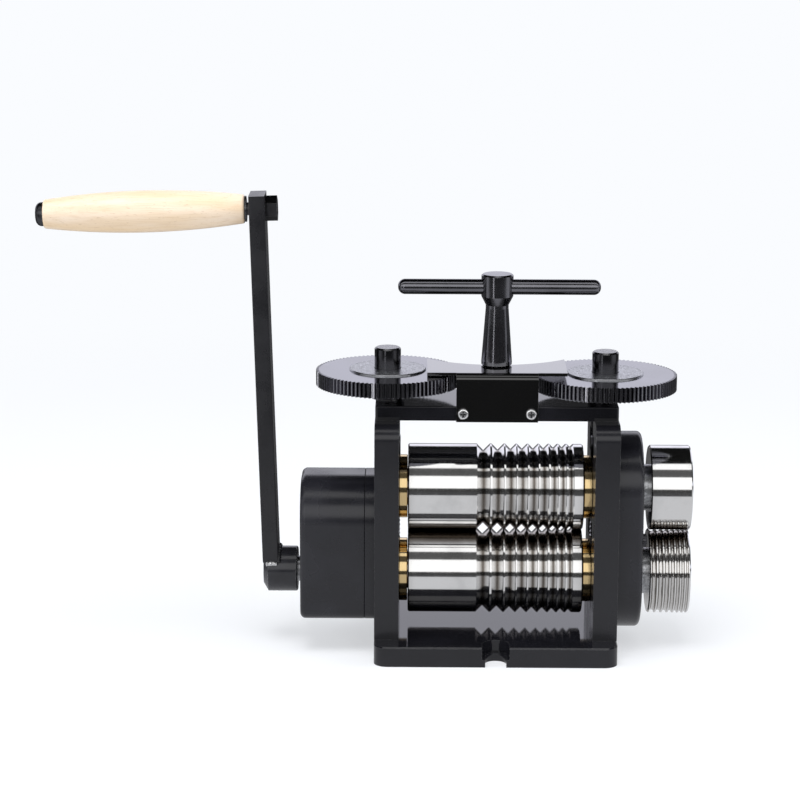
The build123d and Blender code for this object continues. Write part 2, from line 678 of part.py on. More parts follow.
# ---------------------------------------------------------------- cover bracket and its screws
with BuildPart() as cover_bracket:
    with BuildSketch(Plane.XY.offset(cover_low)):
        with BuildLine():
            front = -(cover_front - COVER_BEND)
            back = COVER_BACK_ARC + COVER_BACK_SET
            back_end = back - sqrt(COVER_BACK_ARC**2 - COVER_WING_HALF**2)
            Line((-COVER_WING_HALF, front), (COVER_WING_HALF, front))
            Line((COVER_WING_HALF, front), (COVER_WING_HALF, back_end))
            ThreePointArc(
                (COVER_WING_HALF, back_end), (0, COVER_BACK_SET), (-COVER_WING_HALF, back_end)
            )
            Line((-COVER_WING_HALF, back_end), (-COVER_WING_HALF, front))
        make_face()
        Circle(COVER_LOBE_RADIUS)
    extrude(amount=COVER_SHEET)
    with BuildSketch(Plane.YZ):
        with BuildLine():
            low = plate_top - COVER_OVERHANG
            inner = COVER_BEND - COVER_SHEET
            Line((-cover_front, low), (-cover_front, cover_top - COVER_BEND))
            RadiusArc(
                (-cover_front, cover_top - COVER_BEND),
                (-cover_front + COVER_BEND, cover_top),
                COVER_BEND,
            )
            Line((-cover_front + COVER_BEND, cover_top), (-cover_front + COVER_BEND, cover_low))
            RadiusArc(
                (-cover_front + COVER_BEND, cover_low),
                (-cover_front + COVER_SHEET, cover_low - inner),
                -inner,
            )
            Line((-cover_front + COVER_SHEET, cover_low - inner), (-cover_front + COVER_SHEET, low))
            Line((-cover_front + COVER_SHEET, low), (-cover_front, low))
        make_face()
    extrude(amount=COVER_CENTRE_HALF, both=True)
    with BuildSketch(Plane.XY.offset(cover_low)):
        Circle(SPINDLE_RADIUS + RUN)
    extrude(amount=COVER_SHEET, mode=Mode.SUBTRACT)
    with BuildSketch(Plane.XZ.offset(cover_front)):
        with Locations((-COVER_SCREW_X, flange_z), (COVER_SCREW_X, flange_z)):
            Circle(SMALL_SCREW_RADIUS)
    extrude(amount=-COVER_SHEET, mode=Mode.SUBTRACT)
save(cover_bracket.part, "cover_bracket")

with BuildPart() as cover_screws:
    for x in (-COVER_SCREW_X, COVER_SCREW_X):
        with BuildSketch(Plane.XZ.offset(cover_front)):
            with Locations((x, flange_z)):
                Circle(PAN_HEAD_RADIUS)
        extrude(amount=PAN_HEAD_THICK)
    fillet(cover_screws.faces().filter_by(Axis.Y).group_by(Axis.Y)[0].edges(), PAN_HEAD_ROUND)
    for x in (-COVER_SCREW_X, COVER_SCREW_X):
        with BuildSketch(Plane.XZ.offset(cover_front)):
            with Locations((x, flange_z)):
                Circle(SMALL_SCREW_RADIUS)
        extrude(amount=-(COVER_SHEET + COVER_SCREW_HOLD))
        with BuildSketch(Plane.XZ.offset(cover_front + PAN_HEAD_THICK)):
            with Locations((x, flange_z)):
                Rectangle(CROSS_LENGTH, CROSS_WIDTH)
                Rectangle(CROSS_WIDTH, CROSS_LENGTH)
        extrude(amount=-CROSS_DEPTH, mode=Mode.SUBTRACT)
save(cover_screws.part, "cover_screws")


# ---------------------------------------------------------------- rolls
def groove_cuts(axis_z, centres, widths, radius, round_groove=False):
    """Ring cutters for the wire grooves, as closed half sections revolved about the roll."""
    clear = axis_z + radius + GROOVE_CLEAR
    for x, width in zip(centres, widths):
        with BuildSketch(Plane.XZ) as groove:
            with BuildLine():
                if round_groove:
                    ThreePointArc(
                        (x - width / 2, axis_z + radius),
                        (x, axis_z + radius - width / 2),
                        (x + width / 2, axis_z + radius),
                    )
                    Line((x + width / 2, axis_z + radius), (x + width / 2, clear))
                    Line((x + width / 2, clear), (x - width / 2, clear))
                    Line((x - width / 2, clear), (x - width / 2, axis_z + radius))
                else:
                    Polyline(
                        (x - width / 2 - GROOVE_CLEAR, clear),
                        (x, axis_z + radius - width / 2),
                        (x + width / 2 + GROOVE_CLEAR, clear),
                        close=True,
                    )
            make_face()
        revolve(groove.sketch, axis=Axis((0, 0, axis_z), (1, 0, 0)), mode=Mode.SUBTRACT)


def turned(axis_z, *stretches):
    """Shaft along X from (start, end, radius) stretches, as one revolved half section."""
    points = [(stretches[0][0], axis_z)]
    for start, end, radius in stretches:
        points += [(start, axis_z + radius), (end, axis_z + radius)]
    points.append((stretches[-1][1], axis_z))
    with BuildSketch(Plane.XZ) as half_section:
        with BuildLine():
            Polyline(*points, close=True)
        make_face()
    revolve(half_section.sketch, axis=Axis((0, 0, axis_z), (1, 0, 0)))


groove_places = [half_roll - LAST_GROOVE_INSET - sum(GROOVE_PITCHES)]
for pitch in GROOVE_PITCHES:
    groove_places.append(groove_places[-1] + pitch)
right_shaft = [
    (half_roll, plate_out + SEAT, JOURNAL_RADIUS),
    (plate_out + SEAT, ext_in, SYNC_SHAFT_RADIUS),
    (ext_in, ext_out - CAP_THICK, EXT_SHAFT_RADIUS),
]


def key_slot(x_from, x_to, axis_z, radius, mode=Mode.SUBTRACT):
    """Box of a sunk key on top of a shaft; it cuts the keyway, or is the key itself."""
    with BuildSketch(Plane.XY.offset(axis_z + radius - GEAR_KEY / 2)) as key:
        with Locations(((x_from + x_to) / 2, 0)):
            Rectangle(abs(x_to - x_from), GEAR_KEY)
    extrude(key.sketch, amount=GEAR_KEY, mode=mode)


with BuildPart() as lower_roll:
    turned(
        lower_z,
        (-train_split, -gearbox_in, TRAIN_SHAFT_RADIUS),
        (-gearbox_in, -half_roll, JOURNAL_RADIUS),
        (-half_roll, half_roll, roll_radius),
        *right_shaft,
    )
    rims = lower_roll.edges().filter_by(GeomType.CIRCLE).filter_by(
        lambda e: abs(e.radius - roll_radius) < 0.01
    )
    chamfer(rims, ROLL_EDGE)
    groove_cuts(lower_z, groove_places, GROOVE_WIDTHS, roll_radius)
    with BuildSketch(x_plane(-train_split)):
        with Locations((0, lower_z)):
            Circle(PILOT_RADIUS + RUN)
    extrude(amount=PILOT_LENGTH + SEAT, mode=Mode.SUBTRACT)
    key_slot(-train_split, -train_inner, lower_z, TRAIN_SHAFT_RADIUS)
    key_slot(sync_in, ext_in, lower_z, SYNC_SHAFT_RADIUS)
save(lower_roll.part, "lower_roll")

with BuildPart() as lower_roll_keys:
    key_slot(-train_split, -train_inner, lower_z, TRAIN_SHAFT_RADIUS, Mode.ADD)
    key_slot(sync_in, ext_in, lower_z, SYNC_SHAFT_RADIUS, Mode.ADD)
save(lower_roll_keys.part, "lower_roll_keys")

with BuildPart() as upper_roll:
    turned(
        upper_z,
        (-plate_out + SEAT, -half_roll, JOURNAL_RADIUS),
        (-half_roll, half_roll, roll_radius),
        *right_shaft,
    )
    rims = upper_roll.edges().filter_by(GeomType.CIRCLE).filter_by(
        lambda e: abs(e.radius - roll_radius) < 0.01
    )
    chamfer(rims, ROLL_EDGE)
    groove_cuts(upper_z, groove_places, GROOVE_WIDTHS, roll_radius)
    key_slot(sync_in, ext_in, upper_z, SYNC_SHAFT_RADIUS)
save(upper_roll.part, "upper_roll")

with BuildPart() as upper_roll_key:
    key_slot(sync_in, ext_in, upper_z, SYNC_SHAFT_RADIUS, Mode.ADD)
save(upper_roll_key.part, "upper_roll_key")


# ---------------------------------------------------------------- coupling gears, spacers, extension rolls
def spur_gear(x, width, axis_z, teeth, module, phase, bore, addendum=0.9, key=True, hub=0.0):
    """Spur gear from x on; hub is how far its sleeve stands out beyond the teeth."""
    with BuildPart() as gear:
        with BuildSketch(x_plane(x, axis_z)):
            with BuildLine():
                Polyline(*gear_points(teeth, module, phase, addendum), close=True)
            make_face()
            Circle(bore, mode=Mode.SUBTRACT)
        extrude(amount=width)
        if hub:
            with BuildSketch(x_plane(x + width)):
                with Locations((0, axis_z)):
                    Circle(HUB_SLEEVE_RADIUS)
                    Circle(bore, mode=Mode.SUBTRACT)
            extrude(amount=hub)
        if key:
            key_slot(x, x + width + hub, axis_z, bore)
    return gear.part


for name, axis_z, phase in (("lower", lower_z, 90), ("upper", upper_z, 90 + 180 / SYNC_TEETH)):
    sync_gear = spur_gear(
        sync_in,
        SYNC_FACE,
        axis_z,
        SYNC_TEETH,
        sync_module,
        phase,
        SYNC_SHAFT_RADIUS,
        SYNC_ADDENDUM,
        hub=ext_in - sync_out,
    )
    save(sync_gear, f"{name}_sync_gear")

    with BuildPart() as extension_roll:
        with BuildSketch(x_plane(ext_in)):
            with Locations((0, axis_z)):
                Circle(EXT_DIAMETER / 2)
        extrude(amount=EXT_WIDTH)
        chamfer(extension_roll.edges().filter_by(GeomType.CIRCLE), ROLL_EDGE)
        if name == "lower":
            places = []
            x = ext_in + ROUND_GROOVE_START
            for width in ROUND_GROOVES:
                places.append(x + width / 2)
                x += width + ROUND_GROOVE_LAND
            groove_cuts(axis_z, places, ROUND_GROOVES, EXT_DIAMETER / 2, round_groove=True)
        with BuildSketch(x_plane(ext_in)):
            with Locations((0, axis_z)):
                Circle(EXT_SHAFT_RADIUS)
        extrude(amount=EXT_WIDTH, mode=Mode.SUBTRACT)
        with BuildSketch(x_plane(ext_out)):
            with Locations((0, axis_z)):
                Circle(CAP_RADIUS)
        extrude(amount=-CAP_THICK, mode=Mode.SUBTRACT)
    save(extension_roll.part, f"{name}_extension_roll")

    with BuildPart() as end_cap:
        with BuildSketch(x_plane(ext_out - CAP_THICK)):
            with Locations((0, axis_z)):
                Circle(CAP_RADIUS)
        extrude(amount=CAP_THICK)
        chamfer(end_cap.faces().sort_by(Axis.X)[-1].edges(), CAP_EDGE)
        with BuildSketch(x_plane(ext_out)):
            with Locations((0, axis_z)):
                Circle(CAP_HEAD_RADIUS)
        extrude(amount=CAP_HEAD_THICK)
        fillet(end_cap.faces().sort_by(Axis.X)[-1].edges(), CAP_HEAD_ROUND)
        with BuildSketch(x_plane(ext_out + CAP_HEAD_THICK)):
            with Locations((0, axis_z)):
                RegularPolygon(HEX_KEY / 2, 6, major_radius=False)
        extrude(amount=-CAP_KEY_DEPTH, mode=Mode.SUBTRACT)
    save(end_cap.part, f"{name}_end_cap")

# ---------------------------------------------------------------- gear cover on the right
cover_high_z = upper_z + ROLL_TRAVEL - (GEAR_COVER_RADIUS - GEAR_COVER_WALL) + (
    SYNC_TEETH / 2 + SYNC_ADDENDUM
) * sync_module + SEAT


def tall_slot(radius, low_z, high_z):
    """Upright stadium between two heights."""
    with Locations((0, (low_z + high_z) / 2)):
        SlotCenterToCenter(high_z - low_z, 2 * radius, rotation=90)


with BuildPart() as gear_cover:
    with BuildSketch(x_plane(plate_out)):
        tall_slot(GEAR_COVER_RADIUS, lower_z - GEAR_COVER_DROP, cover_high_z)
    extrude(amount=GEAR_COVER_DEPTH)
    fillet(gear_cover.faces().sort_by(Axis.X)[-1].edges(), GEAR_COVER_EDGE)
    with BuildSketch(x_plane(plate_out)):
        tall_slot(
            GEAR_COVER_RADIUS - GEAR_COVER_WALL, lower_z - GEAR_COVER_DROP, cover_high_z
        )
    extrude(amount=GEAR_COVER_DEPTH - GEAR_COVER_WALL, mode=Mode.SUBTRACT)
    with BuildSketch(x_plane(plate_out)) as cover_bosses:
        with Locations(*cover_screw_yz):
            Circle(BOSS_RADIUS)
    extrude(amount=GEAR_COVER_DEPTH - GEAR_COVER_WALL / 2)
    with BuildSketch(x_plane(plate_out)):
        with Locations(*cover_screw_yz):
            Circle(COVER_SCREW_SHANK)
        with Locations((0, lower_z)):
            Circle(COVER_WAY_RADIUS)
        tall_slot(COVER_WAY_RADIUS, upper_z, upper_z + ROLL_TRAVEL)
    extrude(amount=GEAR_COVER_DEPTH, mode=Mode.SUBTRACT)
    with BuildSketch(z_plane(screw_x, block_top)):
        Circle(PAD_RADIUS + SEAT)
    extrude(amount=plate_top - block_top, mode=Mode.SUBTRACT)
save(gear_cover.part, "gear_cover")


def button_screws(side, head_x, places, shank_length):
    """Button head screws along X as one group; the heads stand out at head_x."""
    with BuildPart() as screws:
        with BuildSketch(x_plane(head_x)):
            with Locations(*places):
                Circle(BUTTON_RADIUS)
        extrude(amount=side * BUTTON_HEAD)
        outer = screws.faces().filter_by(Axis.X).sort_by(Axis.X)
        fillet((outer[-len(places):] if side > 0 else outer[: len(places)]).edges(), BUTTON_ROUND)
        with BuildSketch(x_plane(head_x + side * BUTTON_HEAD)):
            with Locations(*places):
                RegularPolygon(BUTTON_KEY / 2, 6, major_radius=False)
        extrude(amount=-side * BUTTON_KEY_DEPTH, mode=Mode.SUBTRACT)
        with BuildSketch(x_plane(head_x)):
            with Locations(*places):
                Circle(COVER_SCREW_SHANK)
        extrude(amount=-side * shank_length)
    return screws.part


save(
    button_screws(1, gear_cover_out, cover_screw_yz, GEAR_COVER_DEPTH + SCREW_HOLD),
    "gear_cover_screws",
)


# ---------------------------------------------------------------- gearbox on the crank side
def gearbox_outline(shrink=0.0):
    """Rounded box outline in the YZ sketch: large corners on top, small ones below."""
    half = GEARBOX_HALF_DEPTH - shrink
    low = gearbox_low + shrink
    high = gearbox_high - shrink
    foot = GEARBOX_BOTTOM_CORNER - shrink
    shoulder = GEARBOX_TOP_CORNER - shrink
    with BuildLine() as outline:
        Line((foot - half, low), (half - foot, low))
        RadiusArc((half - foot, low), (half, low + foot), -foot)
        Line((half, low + foot), (half, high - shoulder))
        RadiusArc((half, high - shoulder), (half - shoulder, high), -shoulder)
        Line((half - shoulder, high), (shoulder - half, high))
        RadiusArc((shoulder - half, high), (-half, high - shoulder), -shoulder)
        Line((-half, high - shoulder), (-half, low + foot))
        RadiusArc((-half, low + foot), (foot - half, low), -foot)
    make_face(outline.edges())


lay_bush_radius = LAY_SHAFT_RADIUS + RUN + LAY_BUSH_WALL
crank_bush_radius = CRANK_SHAFT_RADIUS + RUN + CRANK_BUSH_WALL
with BuildPart() as gearbox_back:
    with BuildSketch(x_plane(-plate_out)):
        gearbox_outline()
        with Locations((0, lower_z)):
            Circle(JOURNAL_RADIUS + SEAT, mode=Mode.SUBTRACT)
        with Locations((0, lay_z)):
            Circle(lay_bush_radius, mode=Mode.SUBTRACT)
        with Locations(*gearbox_screw_yz):
            Circle(COVER_SCREW_SHANK, mode=Mode.SUBTRACT)
    extrude(amount=-GEARBOX_BACK_THICK)
    chamfer(gearbox_back.faces().sort_by(Axis.X)[0].outer_wire().edges(), JOINT_EDGE)
save(gearbox_back.part, "gearbox_back_plate")

with BuildPart() as gearbox_housing:
    with BuildSketch(x_plane(-gearbox_in)):
        gearbox_outline()
    extrude(amount=-GEARBOX_WIDTH)
    fillet(gearbox_housing.faces().sort_by(Axis.X)[0].edges(), GEARBOX_EDGE)
    with BuildSketch(x_plane(-gearbox_in)):
        gearbox_outline(GEARBOX_WALL)
    extrude(amount=-(GEARBOX_WIDTH - GEARBOX_WALL), mode=Mode.SUBTRACT)
    with BuildSketch(x_plane(-gearbox_in)):
        with Locations(*gearbox_screw_yz):
            Circle(BOSS_RADIUS)
    extrude(amount=-(GEARBOX_WIDTH - GEARBOX_WALL / 2))
    boss_reach = gearbox_out - GEARBOX_WALL - train_end - SEAT
    with BuildSketch(x_plane(-gearbox_out + GEARBOX_WALL)):
        with Locations((0, lay_z)):
            Circle(lay_bush_radius + BUSH_BOSS_WALL)
        with Locations((0, lower_z)):
            Circle(crank_bush_radius + BUSH_BOSS_WALL)
    extrude(amount=boss_reach)
    with BuildSketch(x_plane(-gearbox_in)):
        with Locations(*gearbox_screw_yz):
            Circle(COVER_SCREW_SHANK)
    extrude(amount=-GEARBOX_WIDTH, mode=Mode.SUBTRACT)
    with BuildSketch(x_plane(-gearbox_out)):
        with Locations(*gearbox_screw_yz):
            Circle(BUTTON_RADIUS + SEAT)
    extrude(amount=HEAD_POCKET, mode=Mode.SUBTRACT)
    with BuildSketch(x_plane(-gearbox_out)):
        with Locations((0, lower_z)):
            Circle(crank_bush_radius)
    extrude(amount=GEARBOX_WIDTH / 2, mode=Mode.SUBTRACT)
    with BuildSketch(x_plane(-gearbox_out + GEARBOX_WALL / 2)):
        with Locations((0, lay_z)):
            Circle(lay_bush_radius)
    extrude(amount=GEARBOX_WIDTH / 2, mode=Mode.SUBTRACT)
save(gearbox_housing.part, "gearbox_housing")
case_screw_seat = gearbox_out - HEAD_POCKET
save(
    button_screws(-1, -case_screw_seat, gearbox_screw_yz, case_screw_seat - plate_out + SCREW_HOLD),
    "gearbox_screws",
)


crank_bush_in = -(train_end + SEAT)
with BuildPart() as crank_bush:
    with BuildSketch(x_plane(-gearbox_out)):
        with Locations((0, lower_z)):
            Circle(crank_bush_radius)
            Circle(CRANK_SHAFT_RADIUS + RUN, mode=Mode.SUBTRACT)
    extrude(amount=gearbox_out + crank_bush_in)
save(crank_bush.part, "crank_bush")

lay_bush_out = -gearbox_out + GEARBOX_WALL / 2
with BuildPart() as layshaft_bushes:
    for bush_from, bush_to in ((lay_bush_out, crank_bush_in), (-gearbox_in, -plate_out)):
        with BuildSketch(x_plane(bush_from)):
            with Locations((0, lay_z)):
                Circle(lay_bush_radius)
                Circle(LAY_SHAFT_RADIUS + RUN, mode=Mode.SUBTRACT)
        extrude(amount=bush_to - bush_from)
save(layshaft_bushes.part, "layshaft_bushes")

# gear train: crank pinion, layshaft pair, roll gear
with BuildPart() as layshaft:
    turned(
        lay_z,
        (-gearbox_out + GEARBOX_WALL / 2 + SEAT, -train_end, LAY_SHAFT_RADIUS),
        (-train_end, -train_inner, LAY_SEAT_RADIUS),
        (-train_inner, -plate_out - SEAT, LAY_SHAFT_RADIUS),
    )
save(layshaft.part, "layshaft")
save(
    spur_gear(
        -train_end,
        TRAIN_FACE,
        lay_z,
        LAY_GEAR_TEETH,
        TRAIN_MODULE,
        -90 + 180 / LAY_GEAR_TEETH,
        LAY_SEAT_RADIUS,
        key=False,
    ),
    "layshaft_gear",
)
save(
    spur_gear(
        -train_split, TRAIN_FACE, lay_z, LAY_PINION_TEETH, TRAIN_MODULE, -90, LAY_SEAT_RADIUS, key=False
    ),
    "layshaft_pinion",
)
save(
    spur_gear(
        -train_split,
        TRAIN_FACE,
        lower_z,
        ROLL_GEAR_TEETH,
        TRAIN_MODULE,
        90 + 180 / ROLL_GEAR_TEETH,
        TRAIN_SHAFT_RADIUS,
    ),
    "roll_gear",
)
# ---------------------------------------------------------------- crank
with BuildPart() as crank_shaft:
    turned(
        lower_z,
        (-arm_out + SLEEVE_END_WALL, -train_outer, CRANK_SHAFT_RADIUS),
        (-train_outer, -train_split + PILOT_LENGTH, PILOT_RADIUS),
    )
save(crank_shaft.part, "crank_shaft")
save(
    spur_gear(
        -train_end,
        TRAIN_FACE,
        lower_z,
        CRANK_PINION_TEETH,
        TRAIN_MODULE,
        90,
        CRANK_SHAFT_RADIUS,
        key=False,
    ),
    "crank_pinion",
)

with BuildPart() as crank_sleeve:
    with BuildSketch(x_plane(-sleeve_in)):
        with Locations((0, lower_z)):
            Circle(SLEEVE_RADIUS)
    extrude(amount=-SLEEVE_LENGTH)
    nose = crank_sleeve.faces().sort_by(Axis.X)[0]
    chamfer(nose.edges(), SLEEVE_NOSE_DROP, SLEEVE_NOSE, reference=nose)
    chamfer(crank_sleeve.faces().sort_by(Axis.X)[-1].edges(), SLEEVE_EDGE)
    with BuildSketch(x_plane(-sleeve_in)):
        with Locations((0, lower_z)):
            Circle(CRANK_SHAFT_RADIUS)
    extrude(amount=-SLEEVE_LENGTH + SLEEVE_END_WALL, mode=Mode.SUBTRACT)
save(crank_sleeve.part, "crank_sleeve")

# the arm's own plane leans outwards about the foot of the arm
lean = radians(CRANK_LEAN)
arm_origin = Vector(-arm_out + ARM_THICK / 2, 0, lower_z)
arm_up = Vector(-sin(lean), 0, cos(lean))
arm_axis = Vector(cos(lean), 0, sin(lean))      # along the handle bolt, towards the mill


def arm_plane(up, along=0.0):
    """Plane square to the handle bolt, up the arm from the roll axis and along the bolt."""
    return Plane(
        origin=arm_origin + arm_up * up + arm_axis * along, x_dir=(0, 1, 0), z_dir=arm_axis
    )


with BuildPart() as crank_arm:
    with BuildSketch(arm_plane(0, -ARM_THICK / 2)):
        with Locations((0, (CRANK_RADIUS + ARM_END) / 2)):
            Rectangle(ARM_WIDTH, CRANK_RADIUS + ARM_END)
    extrude(amount=ARM_THICK)
    fillet(crank_arm.edges().filter_by(lambda e: e.length > CRANK_RADIUS / 2), ARM_EDGE)
    with BuildSketch(arm_plane(CRANK_RADIUS, -ARM_THICK / 2)):
        Circle(HANDLE_BOLT_RADIUS)
    extrude(amount=ARM_THICK, mode=Mode.SUBTRACT)
    with BuildSketch(x_plane(-sleeve_in)):
        with Locations((0, lower_z)):
            Circle(SLEEVE_RADIUS)
    extrude(amount=-2 * SLEEVE_LENGTH, mode=Mode.SUBTRACT)
    with BuildSketch(Plane.XY.offset(lower_z)):
        with Locations((-arm_out, 0)):
            Rectangle(4 * ARM_WIDTH, 2 * ARM_WIDTH)
    extrude(amount=-SLEEVE_RADIUS, mode=Mode.SUBTRACT)
save(crank_arm.part, "crank_arm")

handle_out = ARM_THICK / 2 + HANDLE_GAP + WASHER_THICK
with BuildPart() as handle_washer:
    with BuildSketch(arm_plane(CRANK_RADIUS, -handle_out)):
        Circle(WASHER_RADIUS)
        Circle(HANDLE_BOLT_RADIUS, mode=Mode.SUBTRACT)
    extrude(amount=WASHER_THICK)
save(handle_washer.part, "handle_washer")

grip_in = handle_out + SEAT
with BuildPart() as wood_grip:
    with BuildSketch(Plane(origin=arm_plane(CRANK_RADIUS).origin, x_dir=arm_axis, z_dir=(0, -1, 0))):
        with BuildLine():
            Line((-grip_in, 0), (-grip_in, GRIP_END_RADIUS - GRIP_EDGE))
            RadiusArc(
                (-grip_in, GRIP_END_RADIUS - GRIP_EDGE),
                (-grip_in - GRIP_EDGE, GRIP_END_RADIUS),
                -GRIP_EDGE,
            )
            ThreePointArc(
                (-grip_in - GRIP_EDGE, GRIP_END_RADIUS),
                (-grip_in - GRIP_LENGTH / 2, GRIP_MIDDLE_RADIUS),
                (-grip_in - GRIP_LENGTH + GRIP_EDGE, GRIP_END_RADIUS),
            )
            RadiusArc(
                (-grip_in - GRIP_LENGTH + GRIP_EDGE, GRIP_END_RADIUS),
                (-grip_in - GRIP_LENGTH, GRIP_END_RADIUS - GRIP_EDGE),
                -GRIP_EDGE,
            )
            Line((-grip_in - GRIP_LENGTH, GRIP_END_RADIUS - GRIP_EDGE), (-grip_in - GRIP_LENGTH, 0))
            Line((-grip_in - GRIP_LENGTH, 0), (-grip_in, 0))
        make_face()
    revolve(axis=Axis(arm_plane(CRANK_RADIUS).origin, arm_axis))
    with BuildSketch(arm_plane(CRANK_RADIUS, -grip_in)):
        Circle(HANDLE_BOLT_RADIUS + RUN)
    extrude(amount=-GRIP_LENGTH, mode=Mode.SUBTRACT)
save(wood_grip.part, "wood_grip")

head_at = grip_in + GRIP_LENGTH + SEAT
with BuildPart() as handle_bolt:
    with BuildSketch(arm_plane(CRANK_RADIUS, -head_at)):
        Circle(HANDLE_BOLT_RADIUS)
    extrude(amount=head_at + ARM_THICK / 2 + HANDLE_NUT_THICK - BOLT_SHORT)
    with BuildSketch(arm_plane(CRANK_RADIUS, -head_at)):
        Circle(BOLT_HEAD_RADIUS)
    extrude(amount=-BOLT_HEAD_THICK)
    head_rim = handle_bolt.faces().sort_by(Axis.X)[0].edges()
    fillet(head_rim, BOLT_HEAD_THICK * 0.8)
save(handle_bolt.part, "handle_bolt")

with BuildPart() as handle_nut:
    with BuildSketch(arm_plane(CRANK_RADIUS, ARM_THICK / 2)):
        RegularPolygon(HANDLE_NUT_FLAT / 2, 6, major_radius=False, rotation=30)
        Circle(HANDLE_BOLT_RADIUS, mode=Mode.SUBTRACT)
    extrude(amount=HANDLE_NUT_THICK)
save(handle_nut.part, "handle_nut")
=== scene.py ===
"""Looks of the jewellers rolling mill: finishes, springs, dial markings, welds, floor, light and camera."""
from math import cos, pi, radians, sin

import bmesh
import bpy
from mathutils import Matrix, Vector, noise


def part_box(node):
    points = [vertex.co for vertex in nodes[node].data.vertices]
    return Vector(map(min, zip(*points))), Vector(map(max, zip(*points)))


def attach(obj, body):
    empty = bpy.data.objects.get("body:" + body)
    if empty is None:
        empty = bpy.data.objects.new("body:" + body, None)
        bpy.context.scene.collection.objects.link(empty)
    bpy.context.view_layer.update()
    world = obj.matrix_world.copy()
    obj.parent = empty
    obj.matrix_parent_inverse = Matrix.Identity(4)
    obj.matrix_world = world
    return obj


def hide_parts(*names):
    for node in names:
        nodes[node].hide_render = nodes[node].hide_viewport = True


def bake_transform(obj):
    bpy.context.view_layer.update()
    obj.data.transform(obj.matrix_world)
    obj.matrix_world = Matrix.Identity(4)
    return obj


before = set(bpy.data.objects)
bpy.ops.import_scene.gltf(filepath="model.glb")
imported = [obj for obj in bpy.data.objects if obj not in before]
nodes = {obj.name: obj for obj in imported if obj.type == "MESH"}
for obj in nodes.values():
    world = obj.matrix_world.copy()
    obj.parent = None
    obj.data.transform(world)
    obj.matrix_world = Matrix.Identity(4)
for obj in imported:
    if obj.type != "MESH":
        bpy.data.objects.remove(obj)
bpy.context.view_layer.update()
MM = 0.001
RING_STRETCH = (1, 0.02, 0.02)    # noise drawn out into rings round the X axis
EDGE_WEAR_AND_HIGHLIGHT_WIDTH = 0.35 * MM
SLOT_SHADE_REACH = 1.6 * MM
CLOSE_SHADE_REACH = 16 * MM


# ---------------------------------------------------------------- small helpers for node trees
class Tree:
    """A material or world node tree, with short ways to add and join nodes."""

    def __init__(self, owner):
        owner.use_nodes = True
        self.tree = owner.node_tree
        self.tree.nodes.clear()

    def add(self, kind, settings=None, **inputs):
        node = self.tree.nodes.new(kind)
        for key, value in (settings or {}).items():
            setattr(node, key, value)
        for key, value in inputs.items():
            self.set(node, key.replace("_", " "), value)
        return node

    def set(self, node, name, value):
        socket = node.inputs[int(name)] if name.isdigit() else node.inputs[name]
        if isinstance(value, bpy.types.NodeSocket):
            self.tree.links.new(value, socket)
        else:
            socket.default_value = value

    def math(self, operation, first, second=0.0, clamp=False):
        node = self.add("ShaderNodeMath", {"operation": operation, "use_clamp": clamp})
        self.set(node, "0", first)
        self.set(node, "1", second)
        return node.outputs[0]

    def span(self, value, low, high, to_low=0.0, to_high=1.0):
        """Value mapped from low..high to to_low..to_high, smoothly and clamped."""
        node = self.add("ShaderNodeMapRange", {"interpolation_type": "SMOOTHSTEP"})
        for name, number in zip("01234", (value, low, high, to_low, to_high)):
            self.set(node, name, number)
        return node.outputs[0]

    def mix(self, factor, first, second):
        node = self.add("ShaderNodeMix", {"data_type": "RGBA"})
        self.set(node, "Factor", factor)
        self.set(node, "6", first)
        self.set(node, "7", second)
        return node.outputs[2]

    def noise(self, scale, detail, stretch=(1, 1, 1)):
        """Noise in object space, scale in waves per metre, stretched per axis."""
        place = self.add("ShaderNodeTexCoord").outputs["Object"]
        mapped = self.add("ShaderNodeMapping", Vector=place, Scale=stretch)
        node = self.add("ShaderNodeTexNoise", Vector=mapped.outputs[0], Scale=scale, Detail=detail)
        return node.outputs["Fac"]

    def bump(self, height, distance):
        node = self.add("ShaderNodeBump", Height=height, Distance=distance)
        return node.outputs[0]

    def edge(self, radius):
        """About 1 on sharp edges and 0 on flat faces."""
        soft = self.add("ShaderNodeBevel", {"samples": 4}, Radius=radius)
        hard = self.add("ShaderNodeNewGeometry")
        dot = self.add("ShaderNodeVectorMath", {"operation": "DOT_PRODUCT"})
        self.set(dot, "0", soft.outputs[0])
        self.set(dot, "1", hard.outputs["Normal"])
        return self.span(dot.outputs["Value"], 0.995, 0.9)

    def openness(self, reach):
        """About 1 in the open and less where other surfaces lie within reach."""
        return self.add("ShaderNodeAmbientOcclusion", {"samples": 8}, Distance=reach).outputs["AO"]

    def principled(self, **inputs):
        shader = self.add("ShaderNodeBsdfPrincipled", **inputs)
        out = self.add("ShaderNodeOutputMaterial")
        self.set(out, "Surface", shader.outputs[0])
        return shader


def material(name):
    made = bpy.data.materials.new(name)
    return made, Tree(made)


def grey(value, blue=1.0):
    return (value, value, value * blue, 1.0)


# ---------------------------------------------------------------- finishes
def black_enamel(name, dark, pale, gloss, rough, peel, metallic=0.0, edge_wear_and_highlight_tone=0.12, coat=0.0):
    """Black finish with slight clouding, uneven gloss, orange peel and paler edges, which are partly wear
    and partly a painted highlight.
    """
    made, t = material(name)
    clouds = t.noise(38.0, 4.0)
    fine = t.noise(900.0, 2.0)
    body = t.mix(t.span(clouds, 0.35, 0.7), dark, pale)
    # paler edges: partly real wear, partly a painted highlight standing in for light caught on the edges
    edge_wear_and_highlight = t.math("MULTIPLY", t.edge(EDGE_WEAR_AND_HIGHLIGHT_WIDTH), t.span(fine, 0.35, 0.65), clamp=True)
    color = t.mix(edge_wear_and_highlight, body, grey(edge_wear_and_highlight_tone))
    t.principled(
        Base_Color=color,
        Metallic=metallic,
        Roughness=t.span(clouds, 0.3, 0.75, gloss, rough),
        Normal=t.bump(t.noise(420.0, 2.0), peel * MM),
        IOR=1.5,
        Coat_Weight=coat,
        Coat_Roughness=0.05,
    )
    return made


